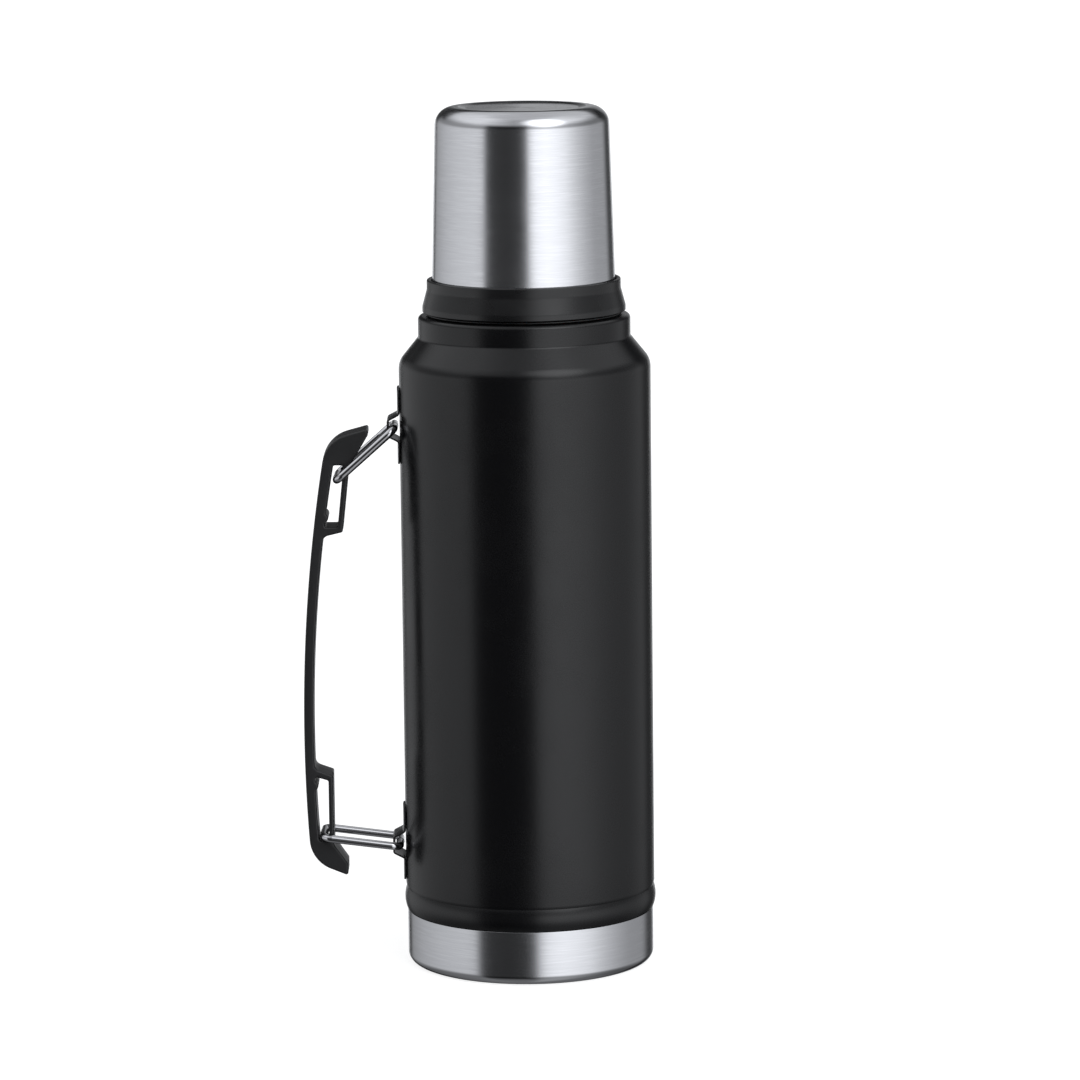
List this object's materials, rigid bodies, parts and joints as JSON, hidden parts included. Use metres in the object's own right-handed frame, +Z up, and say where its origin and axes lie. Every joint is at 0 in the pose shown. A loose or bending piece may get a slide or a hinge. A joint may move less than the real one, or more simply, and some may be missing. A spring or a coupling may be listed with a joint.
{
  "type": "vacuum flask",
  "caption": "Double-wall steel vacuum flask with a screw-on drinking cup, a screw stopper in its neck and a moulded carrying handle hung on two swinging wire links.",
  "frame": {"origin": "centre of the underside, on the flask's axis", "axes": "+Z up along the flask's axis, handle on the -X side, +Y completes the right-handed set"},
  "size_m": [0.1249, 0.0898, 0.306],
  "materials": {
    "powder_coat": "satin black powder coat, very fine texture",
    "powder_coat_bracket": "satin black powder coat over formed steel",
    "brushed_steel": "turned brushed stainless steel",
    "inner_steel": "drawn stainless steel, electropolished",
    "getter_metal": "sintered and soldered grey metal",
    "copper_foil": "thin copper foil, lightly creased",
    "silicone": "translucent white silicone",
    "collar_plastic": "satin black moulded polypropylene",
    "cup_plastic": "grey moulded polypropylene",
    "stopper_plastic": "satin black moulded polypropylene",
    "foam": "white polyurethane foam",
    "polished_wire": "polished stainless wire",
    "handle_plastic": "matte black moulded nylon, fine texture"
  },
  "bodies": {
    "flask": {"outer_shell": "powder_coat", "base_cup": "brushed_steel", "outer_bottom": "inner_steel", "vacuum_seal": "getter_metal", "getter": "getter_metal", "inner_liner": "inner_steel", "liner_foil": "copper_foil", "collar_gasket": "silicone", "neck_collar": "collar_plastic", "upper_bracket": "powder_coat_bracket", "lower_bracket": "powder_coat_bracket"},
    "cup": {"cup_shell": "brushed_steel", "cup_liner": "cup_plastic"},
    "stopper": {"stopper_body": "stopper_plastic", "stopper_cap": "stopper_plastic", "stopper_foam": "foam", "stopper_seal": "silicone", "stopper_o_ring": "silicone"},
    "lower_link": {"lower_link": "polished_wire"},
    "upper_link": {"upper_link": "polished_wire"},
    "handle": {"handle": "handle_plastic"}
  },
  "joints": [
    {"name": "cup_lift", "type": "slide", "parent": "flask", "child": "cup", "axis": [0, 0, 1], "range_m": [0, 0.15]},
    {"name": "stopper_lift", "type": "slide", "parent": "flask", "child": "stopper", "axis": [0, 0, 1], "range_m": [0, 0.06]},
    {"name": "lower_link_swing", "type": "hinge", "parent": "flask", "child": "lower_link", "pos_m": [-0.0464, 0, 0.0429], "axis": [0, 1, 0], "range_deg": [0, 45]},
    {"name": "handle_turn", "type": "hinge", "parent": "lower_link", "child": "handle", "pos_m": [-0.07347, 0, 0.04646], "axis": [0, 1, 0], "range_deg": [-53, 0]},
    {"name": "upper_link_swing", "type": "hinge", "parent": "flask", "child": "upper_link", "pos_m": [-0.0464, 0, 0.1932], "axis": [0, 1, 0], "range_deg": [0, 44]}
  ],
  "couplings": [
    {"joint": "stopper_lift", "follows": "cup_lift", "ratio": 0.4},
    {"joint": "handle_turn", "follows": "lower_link_swing", "ratio": -1.17},
    {"joint": "upper_link_swing", "follows": "lower_link_swing", "ratio": 0.97}
  ]
}
